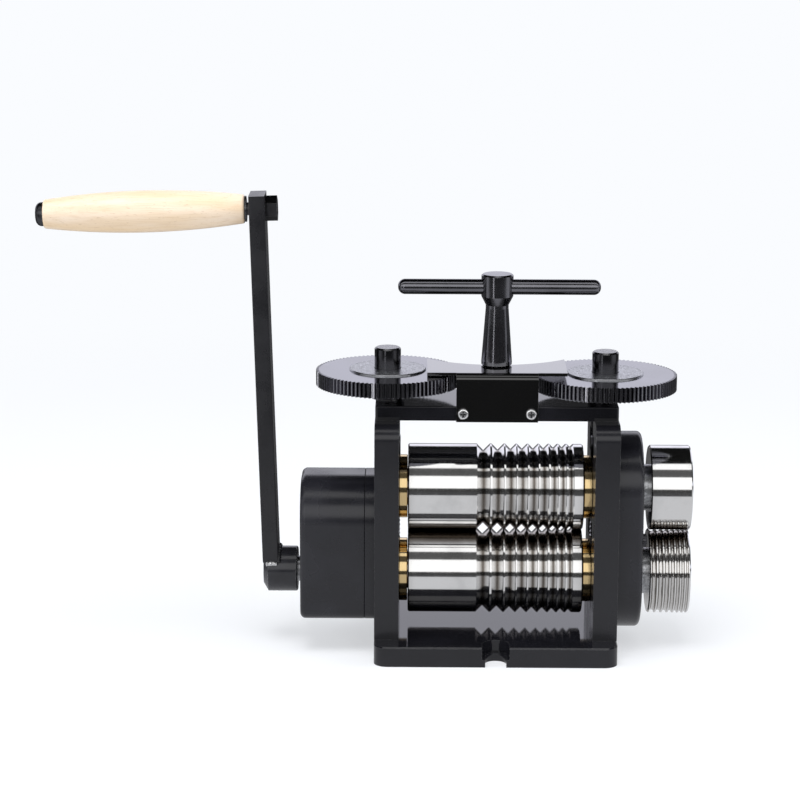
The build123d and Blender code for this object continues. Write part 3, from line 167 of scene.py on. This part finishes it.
def knob_black(name):
    """Blackened steel whose top face is scuffed bright."""
    made, t = material(name)
    normal = t.add("ShaderNodeNewGeometry").outputs["Normal"]
    up = t.add("ShaderNodeSeparateXYZ", Vector=normal).outputs["Z"]
    scuffs = t.noise(650.0, 4.0)
    bare = t.math("MULTIPLY", t.span(up, 0.6, 0.95), t.span(scuffs, 0.3, 0.6))
    t.principled(
        Base_Color=t.mix(bare, grey(0.07, 1.1), grey(0.62)),
        Metallic=1.0,
        Roughness=t.span(bare, 0.0, 1.0, 0.16, 0.4),
        Normal=t.bump(scuffs, 0.01 * MM),
    )
    return made


def dark_slots(name, tone):
    """Bright screw metal with painted shade in its slots, near black where other surfaces lie close."""
    made, t = material(name)
    open_air = t.openness(SLOT_SHADE_REACH)
    marks = t.noise(1500.0, 3.0)
    t.principled(
        # painted shade: near black where other surfaces lie within reach, as in the screw slots
        Base_Color=t.mix(t.span(open_air, 0.45, 0.9), grey(0.01), tone),
        Metallic=1.0,
        Roughness=t.span(marks, 0.3, 0.7, 0.12, 0.28),
    )
    return made


def turned_steel(name, tone, gloss, rough, line_depth, close_shade_tone):
    """Bright ground metal with fine rings round the X axis, faint stains, and a darker tone in close places
    as painted shade.
    """
    made, t = material(name)
    rings = t.noise(5200.0, 3.0, RING_STRETCH)
    stains = t.noise(60.0, 5.0)
    color = t.mix(t.span(stains, 0.4, 0.75), tone, tuple(c * 0.86 for c in tone[:3]) + (1.0,))
    # painted shade: a darker brownish tone where other surfaces lie close, as in the nip between the rolls
    color = t.mix(t.span(t.openness(CLOSE_SHADE_REACH), 0.5, 0.85), close_shade_tone, color)
    t.principled(
        Base_Color=color,
        Metallic=1.0,
        Roughness=t.span(rings, 0.3, 0.7, gloss, rough),
        Normal=t.bump(rings, line_depth * MM),
        Anisotropic=0.35,
    )
    return made


def beech(name):
    """Pale varnished beech with long fine grain along the grip and small flecks."""
    made, t = material(name)
    broad = t.noise(90.0, 3.0, (0.12, 1, 1))
    fine = t.noise(1400.0, 3.0, (0.03, 1, 1))
    flecks = t.noise(2600.0, 1.0, (0.12, 1, 1))
    color = t.mix(t.span(broad, 0.3, 0.75), (0.94, 0.78, 0.62, 1), (0.85, 0.64, 0.41, 1))
    color = t.mix(t.span(fine, 0.45, 0.8, 0.0, 0.35), color, (0.62, 0.40, 0.20, 1))
    color = t.mix(t.span(flecks, 0.66, 0.74, 0.0, 0.45), color, (0.45, 0.27, 0.13, 1))
    t.principled(
        Base_Color=color,
        Roughness=t.span(broad, 0.3, 0.7, 0.32, 0.42),
        Normal=t.bump(fine, 0.05 * MM),
        Coat_Weight=0.15,
        Coat_Roughness=0.2,
    )
    return made


def bare_metal(name, tone, gloss, rough, scale=700.0, depth=0.02):
    """Plain machined metal with uneven gloss and fine marks."""
    made, t = material(name)
    marks = t.noise(scale, 3.0)
    color = t.mix(t.span(marks, 0.3, 0.75), tone, tuple(c * 0.75 for c in tone[:3]) + (1.0,))
    t.principled(
        Base_Color=color,
        Metallic=1.0,
        Roughness=t.span(marks, 0.3, 0.7, gloss, rough),
        Normal=t.bump(marks, depth * MM),
    )
    return made


gloss_black = black_enamel("gloss_black", grey(0.008, 1.3), grey(0.011, 1.3), 0.05, 0.1, 0.003)
plate_black = black_enamel("plate_black", grey(0.011, 1.25), grey(0.013, 1.25), 0.2, 0.3, 0.006)
arm_black = black_enamel("arm_black", grey(0.010, 1.2), grey(0.014, 1.2), 0.22, 0.34, 0.012)
case_black = black_enamel("case_black", grey(0.012, 1.3), grey(0.017, 1.3), 0.2, 0.3, 0.006, edge_wear_and_highlight_tone=0.03)
sleeve_black = black_enamel("sleeve_black", grey(0.014, 1.2), grey(0.03, 1.2), 0.12, 0.3, 0.02, edge_wear_and_highlight_tone=0.35)
cover_black = black_enamel("cover_black", grey(0.0015), grey(0.002), 0.05, 0.09, 0.002, coat=0.9)
oxide_black = black_enamel(
    "oxide_black", grey(0.20, 1.12), grey(0.25, 1.12), 0.07, 0.16, 0.003, metallic=1.0, edge_wear_and_highlight_tone=0.5
)
handle_black = black_enamel(
    "handle_black", grey(0.16, 1.1), grey(0.20, 1.1), 0.12, 0.22, 0.003, metallic=1.0, edge_wear_and_highlight_tone=0.5
)
screw_black = black_enamel(
    "screw_black", grey(0.05, 1.1), grey(0.09, 1.1), 0.22, 0.4, 0.01, metallic=1.0, edge_wear_and_highlight_tone=0.5
)
# the last tone given to turned_steel is the painted shade where other surfaces lie close
roll_steel = turned_steel(
    "roll_steel", (0.84, 0.835, 0.83, 1), 0.04, 0.14, 0.0012, (0.30, 0.275, 0.25, 1)
)
gear_steel = bare_metal("gear_steel", (0.48, 0.49, 0.51, 1), 0.25, 0.42)
spring_steel = bare_metal("spring_steel", (0.5, 0.5, 0.52, 1), 0.2, 0.35)
bronze = turned_steel("turned_bronze", (0.93, 0.72, 0.38, 1), 0.05, 0.14, 0.002, (0.72, 0.54, 0.28, 1))
bright_metal = dark_slots("bright_metal", (0.95, 0.95, 0.96, 1))
scuffed_knob = knob_black("scuffed_knob")
dial_metal = bare_metal("dial_metal", (0.52, 0.53, 0.55, 1), 0.2, 0.4, 1600.0, 0.006)
wood = beech("beech")

finish_of = {
    gloss_black: ["base_plate", "top_beam"],
    plate_black: ["left_side_plate", "right_side_plate"],
    arm_black: ["crank_arm"],
    cover_black: ["cover_bracket"],
    case_black: ["gear_cover", "gearbox_back_plate", "gearbox_housing"],
    sleeve_black: ["crank_sleeve"],
    oxide_black: ["left_wheel", "right_wheel", "handle_pinion"],
    handle_black: ["handle_post", "handle_bar"],
    screw_black: [
        "base_screws",
        "beam_screws",
        "gear_cover_screws",
        "gearbox_screws",
        "lower_roll_keys",
        "upper_roll_key",
        "left_drive_key",
        "right_drive_key",
        "left_lower_block",
        "left_upper_block",
        "right_lower_block",
        "right_upper_block",
        "thrust_pads",
        "thrust_collars",
        "handle_bolt",
        "handle_nut",
        "handle_washer",
    ],
    roll_steel: [
        "lower_roll",
        "upper_roll",
        "lower_extension_roll",
        "upper_extension_roll",
        "lower_end_cap",
        "upper_end_cap",
    ],
    bronze: [
        "left_lower_bush",
        "left_upper_bush",
        "right_lower_bush",
        "right_upper_bush",
        "crank_bush",
        "layshaft_bushes",
    ],
    gear_steel: [
        "lower_sync_gear",
        "upper_sync_gear",
        "layshaft",
        "layshaft_gear",
        "layshaft_pinion",
        "roll_gear",
        "crank_shaft",
        "crank_pinion",
    ],
    spring_steel: ["lift_springs"],
    bright_metal: ["cover_screws"],
    scuffed_knob: ["left_pressing_screw", "right_pressing_screw"],
    dial_metal: ["left_dial_plate", "right_dial_plate"],
    wood: ["wood_grip"],
}
for finish, names in finish_of.items():
    for name in names:
        if not nodes[name].material_slots:
            nodes[name].data.materials.append(finish)
        for material_slot in nodes[name].material_slots:
            material_slot.material = finish


# ---------------------------------------------------------------- pieces that only the looks need
def piece(name, verts, faces, finish, body):
    """Mesh object from points in metres, with its finish, riding on a body if one is named."""
    data = bpy.data.meshes.new(name)
    data.from_pydata(verts, [], faces)
    data.shade_smooth()
    data.materials.append(finish)
    made = bpy.data.objects.new(name, data)
    bpy.context.scene.collection.objects.link(made)
    if body:
        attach(made, body)
    return made


def tube(path, radii, sides):
    """Points and faces of a round tube with flat ends along a path, with a radius at each point."""
    verts = []
    faces = []
    side = Vector((0.31, 0.87, 0.38))
    for index, place in enumerate(path):
        ahead = path[min(index + 1, len(path) - 1)] - path[max(index - 1, 0)]
        ahead.normalize()
        side = (side - ahead * side.dot(ahead)).normalized()
        up = ahead.cross(side)
        for corner in range(sides):
            turn = 2 * pi * corner / sides
            verts.append(place + (side * cos(turn) + up * sin(turn)) * radii[index])
    for ring in range(len(path) - 1):
        for corner in range(sides):
            following = (corner + 1) % sides
            near = ring * sides
            far = near + sides
            faces.append((near + corner, near + following, far + following, far + corner))
    faces.append(tuple(reversed(range(sides))))
    faces.append(tuple(range(len(verts) - sides, len(verts))))
    return verts, faces


# lift springs: the same helix as the CAD node
SPRING_RADIUS = 6.4 * MM
SPRING_WIRE = 1.0 * MM
SPRING_TURNS = 4.5
SPRING_STEPS = 32         # rings per turn
SPRING_SIDES = 12
spring_low, spring_high = (Vector(corner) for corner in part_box("lift_springs"))
spring_x = spring_high.x - SPRING_RADIUS - SPRING_WIRE
for side, name in ((-1, "left_lift_spring"), (1, "right_lift_spring")):
    rise = spring_high.z - spring_low.z - 2 * SPRING_WIRE
    steps = round(SPRING_TURNS * SPRING_STEPS)
    coil = []
    for step in range(steps + 1):
        turn = 2 * pi * step / SPRING_STEPS
        x = side * spring_x + SPRING_RADIUS * cos(turn)
        z = spring_low.z + SPRING_WIRE + rise * step / steps
        coil.append(Vector((x, SPRING_RADIUS * sin(turn), z)))
    verts, faces = tube(coil, [SPRING_WIRE] * len(coil), SPRING_SIDES)
    spring = piece(name, verts, faces, spring_steel, None)
    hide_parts("lift_springs")
    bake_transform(spring)

# dial markings: ticks and plain numbers, and a bright ring near the edge that paints the edge chamfer's
# highlight
DIAL_STEPS = 40
DIAL_NUMBERS = 20
TICK_OUT = 22.4 * MM
TICK_LONG = 3.2 * MM
TICK_SHORT = 1.9 * MM
TICK_HALF_WIDTH = 0.14 * MM
MARK_HEIGHT = 0.03 * MM
HIGHLIGHT_RING_INSET = 0.45 * MM
HIGHLIGHT_RING_WIDTH = 0.4 * MM
HIGHLIGHT_RING_STEPS = 96
NUMBER_RADIUS = 16.6 * MM
NUMBER_SIZE = 3.1 * MM


def add_box(mesh, low, high, turn):
    """Box from corner to corner, turned about Z."""
    matrix = Matrix.Rotation(turn, 4, "Z") @ Matrix.Translation((Vector(low) + Vector(high)) / 2)
    size = Vector(high) - Vector(low)
    bmesh.ops.create_cube(mesh, size=1.0, matrix=matrix @ Matrix.Diagonal((*size, 1.0)))


def add_rim(mesh, outer):
    """Flat bright ring near the dial's edge, a painted highlight of the edge chamfer."""
    rings = []
    for radius in (outer - HIGHLIGHT_RING_WIDTH, outer):
        ring = []
        for step in range(HIGHLIGHT_RING_STEPS):
            turn = 2 * pi * step / HIGHLIGHT_RING_STEPS
            ring.append(mesh.verts.new((radius * cos(turn), radius * sin(turn), MARK_HEIGHT)))
        rings.append(ring)
    inner, wide = rings
    for step in range(HIGHLIGHT_RING_STEPS):
        after = (step + 1) % HIGHLIGHT_RING_STEPS
        mesh.faces.new((inner[step], wide[step], wide[after], inner[after]))


def add_number(mesh, text, matrix, size):
    """Raised plain number, from Blender's own letters."""
    letters = bpy.data.curves.new("number", "FONT")
    letters.body = text
    letters.size = size
    letters.align_x = "CENTER"
    letters.align_y = "CENTER"
    letters.extrude = MARK_HEIGHT / 2
    letters.resolution_u = 4
    holder = bpy.data.objects.new("number", letters)
    bpy.context.scene.collection.objects.link(holder)
    bpy.context.view_layer.update()
    solid = bpy.data.meshes.new_from_object(holder.evaluated_get(bpy.context.evaluated_depsgraph_get()))
    solid.transform(matrix)
    mesh.from_mesh(solid)
    bpy.data.objects.remove(holder)
    bpy.data.meshes.remove(solid)


# paint for the ticks and numbers, and for the painted highlight ring
mark_and_highlight_paint = bare_metal("mark_and_highlight_paint", (0.86, 0.87, 0.9, 1), 0.35, 0.5)
for name in ("left", "right"):
    low, high = (Vector(corner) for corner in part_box(f"{name}_dial_plate"))
    centre = (low + high) / 2
    marks = bmesh.new()
    # painted highlight: bright ring just inside the dial's edge
    add_rim(marks, (high.x - low.x) / 2 - HIGHLIGHT_RING_INSET)
    for step in range(DIAL_STEPS):
        turn = 2 * pi * step / DIAL_STEPS
        length = TICK_SHORT if step % 2 else TICK_LONG
        add_box(
            marks, (TICK_OUT - length, -TICK_HALF_WIDTH, 0), (TICK_OUT, TICK_HALF_WIDTH, MARK_HEIGHT), turn
        )
    for number in range(DIAL_NUMBERS):
        turn = 2 * pi * number / DIAL_NUMBERS
        matrix = (
            Matrix.Rotation(turn, 4, "Z")
            @ Matrix.Translation((NUMBER_RADIUS, 0, MARK_HEIGHT / 2))
            @ Matrix.Rotation(-pi / 2, 4, "Z")
        )
        add_number(marks, str(number), matrix, NUMBER_SIZE)
    bmesh.ops.translate(marks, verts=marks.verts, vec=(centre.x, centre.y, high.z))
    data = bpy.data.meshes.new(f"{name}_dial_marks_and_highlight")
    marks.to_mesh(data)
    marks.free()
    data.materials.append(mark_and_highlight_paint)
    dial_marks_and_highlight = bpy.data.objects.new(f"{name}_dial_marks_and_highlight", data)
    bpy.context.scene.collection.objects.link(dial_marks_and_highlight)
    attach(dial_marks_and_highlight, f"{name}_wheel")


# weld between the crank arm's foot and its sleeve
WELD_RADIUS = 1.7 * MM
WELD_RIPPLE = 1.3 * MM    # length of one ripple along the bead
WELD_STEP = 0.25 * MM
WELD_SIDES = 14
WELD_LIFT = 0.35 * MM     # how far roughness lifts the bead's middle
WELD_GRAIN = 0.16 * MM    # how far fine roughness moves its surface
WELD_IN = 1.6 * MM        # bead's end from the sleeve's left face
WELD_SEAT = 0.2 * MM      # bead's middle from the arm's faces
WELD_END = 0.4 * MM
WELD_ARC_STEPS = 12
sleeve_low, sleeve_high = (Vector(corner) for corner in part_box("crank_sleeve"))
sleeve_radius = (sleeve_high.y - sleeve_low.y) / 2
roll_z = (sleeve_low.z + sleeve_high.z) / 2
arm_low, arm_high = (Vector(corner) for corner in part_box("crank_arm"))
arm_left = sleeve_low.x
arm_right = arm_high.x


def on_sleeve(x, y):
    return Vector((x, y, roll_z + (sleeve_radius**2 - y**2) ** 0.5))


def bead(name, corners, finish, seed):
    """Rippled bead along straight stretches between corner points."""
    path = []
    for start, end in zip(corners, corners[1:]):
        steps = max(1, round((end - start).length / WELD_STEP))
        path += [start.lerp(end, step / steps) for step in range(steps)]
    path.append(corners[-1])
    radii = []
    for index, place in enumerate(path):
        ripple = (index * WELD_STEP % WELD_RIPPLE) / WELD_RIPPLE
        rough = noise.noise(place * 900.0 + Vector((seed, 0, 0)))
        fade = min(1.0, 0.45 + 0.2 * min(index, len(path) - 1 - index))
        radii.append(WELD_RADIUS * (0.82 + 0.22 * ripple + 0.3 * rough) * fade)
        path[index] = place + Vector((0, 0, WELD_LIFT * rough))
    verts, faces = tube(path, radii, WELD_SIDES)
    for index, vert in enumerate(verts):
        verts[index] = vert + Vector((1, 1, 1)) * (noise.noise(vert * 2300.0) * WELD_GRAIN)
    return piece(name, verts, faces, finish, "crank")


weld_silver = bare_metal("weld_silver", (0.78, 0.78, 0.79, 1), 0.12, 0.3, 1800.0, 0.12)
front_y = arm_low.y
bead(
    "weld_front",
    [
        on_sleeve(arm_left + WELD_IN, front_y - WELD_SEAT),
        on_sleeve(arm_right - WELD_END, front_y - WELD_SEAT),
    ],
    weld_silver,
    3.0,
)
arc = []
for step in range(WELD_ARC_STEPS + 1):
    arc.append(on_sleeve(arm_right + WELD_SEAT, front_y + (arm_high.y - front_y) * step / WELD_ARC_STEPS))
arc.append(on_sleeve(arm_left + WELD_IN, arm_high.y + WELD_SEAT))
bead("weld_back", arc, arm_black, 11.0)

# ---------------------------------------------------------------- floor, world and lamps
PALE = (0.956, 0.973, 1.0, 1)     # background, as the camera sees it
FLOOR_HALF = 6.0
SHADOW_REACH = (0.45, 1.1)        # where the shaded floor passes into the plain one
SHADOW_FILL = 0.55                # share of plain floor near the mill
FRONT_FADE = (-0.62, -0.50)       # reflected floor is dark in front of this
FRONT_LEVELS = (0.07, 0.66)
BACK_FADE = (0.05, 0.16)          # and dark again behind this
BACK_LEVELS = (1.0, 0.18)


def floor_material():
    """Pale floor with a soft shadow; in reflections it is dark far in front and behind."""
    made, t = material("floor_white")
    place = t.add("ShaderNodeNewGeometry").outputs["Position"]
    apart = t.add("ShaderNodeSeparateXYZ", Vector=place)
    path = t.add("ShaderNodeLightPath")
    near = t.add("ShaderNodeBsdfDiffuse", Color=(0.93, 0.945, 0.97, 1))
    far = t.add("ShaderNodeEmission", Color=PALE)
    reach = t.add("ShaderNodeVectorMath", {"operation": "LENGTH"}, Vector=place)
    seen = t.add("ShaderNodeMixShader")
    t.set(seen, "0", t.span(reach.outputs["Value"], *SHADOW_REACH, SHADOW_FILL, 1.0))
    t.set(seen, "1", near.outputs[0])
    t.set(seen, "2", far.outputs[0])
    front = t.span(apart.outputs["Y"], *FRONT_FADE, *FRONT_LEVELS)
    back = t.span(apart.outputs["Y"], *BACK_FADE, *BACK_LEVELS)
    shade = t.math("MULTIPLY", front, back)
    mirrored = t.add("ShaderNodeEmission", Color=(0.96, 0.97, 1.0, 1), Strength=shade)
    out_mix = t.add("ShaderNodeMixShader")
    t.set(out_mix, "0", path.outputs["Is Glossy Ray"])
    t.set(out_mix, "1", seen.outputs[0])
    t.set(out_mix, "2", mirrored.outputs[0])
    out = t.add("ShaderNodeOutputMaterial")
    t.set(out, "Surface", out_mix.outputs[0])
    return made


floor_mesh = bpy.data.meshes.new("floor")
floor_corners = [(x * FLOOR_HALF, y * FLOOR_HALF, 0) for x, y in ((-1, -1), (1, -1), (1, 1), (-1, 1))]
floor_mesh.from_pydata(floor_corners, [], [(0, 1, 2, 3)])
floor = bpy.data.objects.new("floor", floor_mesh)
floor.data.materials.append(floor_material())
bpy.context.scene.collection.objects.link(floor)

# tall narrow glowing panel, front left, that only reflections see
STRIP_TURN = radians(-28)
STRIP_FAR = 0.6
STRIP_HALF_WIDTH = 0.022
STRIP_HIGH = 0.62
STRIP_GLOW = 2.6


def strip_light():
    made, t = material("strip_glow")
    glow = t.add("ShaderNodeEmission", Color=(1, 1, 1, 1), Strength=STRIP_GLOW)
    out = t.add("ShaderNodeOutputMaterial")
    t.set(out, "Surface", glow.outputs[0])
    middle = Vector((sin(STRIP_TURN), -cos(STRIP_TURN), 0)) * STRIP_FAR
    along = Vector((cos(STRIP_TURN), sin(STRIP_TURN), 0)) * STRIP_HALF_WIDTH
    rise = Vector((0, 0, STRIP_HIGH))
    mesh = bpy.data.meshes.new("strip")
    mesh.from_pydata(
        [middle - along, middle + along, middle + along + rise, middle - along + rise], [], [(0, 1, 2, 3)]
    )
    mesh.materials.append(made)
    strip = bpy.data.objects.new("strip", mesh)
    bpy.context.scene.collection.objects.link(strip)
    strip.visible_camera = False
    strip.visible_diffuse = False
    strip.visible_shadow = False


strip_light()

# studio as a reflection sees it: degrees up from the front, over the top, to the back, and the level there
BACK_STARTS = 149         # degrees; the bands beyond are tinted blue
BACK_BLUE = 1.12
LAST_STOP = 0.9999
STUDIO_BANDS = (
    (-90, 0.30), (-13, 0.30), (-11, 0.055), (7, 0.055), (9, 1.3), (40, 1.3), (42, 0.1), (62, 0.1),
    (64, 1.2), (80, 1.2), (82, 0.006), (149, 0.006), (152, 0.95), (173, 1.1), (176, 0.12), (270, 0.12),
)


def studio_world():
    world = bpy.data.worlds.new("studio")
    bpy.context.scene.world = world
    t = Tree(world)
    way = t.add("ShaderNodeTexCoord").outputs["Generated"]
    apart = t.add("ShaderNodeSeparateXYZ", Vector=way)
    front = t.math("MULTIPLY", apart.outputs["Y"], -1.0)
    angle = t.math("ARCTAN2", apart.outputs["Z"], front)
    turned = t.math("ADD", angle, pi / 2)
    whole = t.math("DIVIDE", t.math("FLOORED_MODULO", turned, 2 * pi), 2 * pi)
    ramp = t.add("ShaderNodeValToRGB", Fac=whole)
    stops = ramp.color_ramp
    for index, (degrees, level) in enumerate(STUDIO_BANDS):
        at = (degrees + 90) / 360
        stop = stops.elements[0] if index == 0 else stops.elements.new(min(at, LAST_STOP))
        stop.position = at
        stop.color = grey(level, BACK_BLUE if degrees > BACK_STARTS else 1.0)
    stops.elements.remove(stops.elements[-1])
    path = t.add("ShaderNodeLightPath")
    plain = t.add("ShaderNodeBackground", Color=(0.94, 0.96, 1.0, 1), Strength=0.62)
    mirrored = t.add("ShaderNodeBackground", Color=ramp.outputs[0], Strength=1.0)
    seen = t.add("ShaderNodeBackground", Color=PALE, Strength=1.0)
    glossy = t.add("ShaderNodeMixShader")
    t.set(glossy, "0", path.outputs["Is Glossy Ray"])
    t.set(glossy, "1", plain.outputs[0])
    t.set(glossy, "2", mirrored.outputs[0])
    camera = t.add("ShaderNodeMixShader")
    t.set(camera, "0", path.outputs["Is Camera Ray"])
    t.set(camera, "1", glossy.outputs[0])
    t.set(camera, "2", seen.outputs[0])
    out = t.add("ShaderNodeOutputWorld")
    t.set(out, "Surface", camera.outputs[0])


studio_world()


LAMP_AIM = Vector((0, 0, 0.1))


def lamp(name, place, size, watts):
    """Square soft lamp that doesn't show as a shape in reflections."""
    data = bpy.data.lights.new(name, "AREA")
    data.shape = "SQUARE"
    data.size = size
    data.energy = watts
    made = bpy.data.objects.new(name, data)
    made.location = place
    made.rotation_euler = (LAMP_AIM - Vector(place)).to_track_quat("-Z", "Y").to_euler()
    made.visible_glossy = False
    bpy.context.scene.collection.objects.link(made)


lamp("right_lamp", (1.6, -0.25, 0.75), 0.5, 9.0)
lamp("left_lamp", (-1.6, -0.5, 0.9), 0.6, 7.0)
lamp("top_lamp", (-0.2, -0.5, 1.8), 1.0, 20.0)

# ---------------------------------------------------------------- camera at the photograph's view
CAMERA_PLACE = (-0.0469, -1.6495, 0.5220)
CAMERA_DOWN = 12.551
CAMERA_TURN = 0.448
CAMERA_ROLL = 0.212
FOCAL_PIXELS = 2715.1
IMAGE_PIXELS = 800
SENSOR_MM = 36.0

camera_data = bpy.data.cameras.new("camera")
camera_data.sensor_width = SENSOR_MM
camera_data.lens = FOCAL_PIXELS / IMAGE_PIXELS * SENSOR_MM
camera = bpy.data.objects.new("camera", camera_data)
camera.matrix_world = (
    Matrix.Translation(CAMERA_PLACE)
    @ Matrix.Rotation(radians(CAMERA_TURN), 4, "Z")
    @ Matrix.Rotation(radians(90 - CAMERA_DOWN), 4, "X")
    @ Matrix.Rotation(radians(CAMERA_ROLL), 4, "Z")
)
bpy.context.scene.collection.objects.link(camera)
bpy.context.scene.camera = camera
bpy.context.scene.view_settings.view_transform = "Standard"
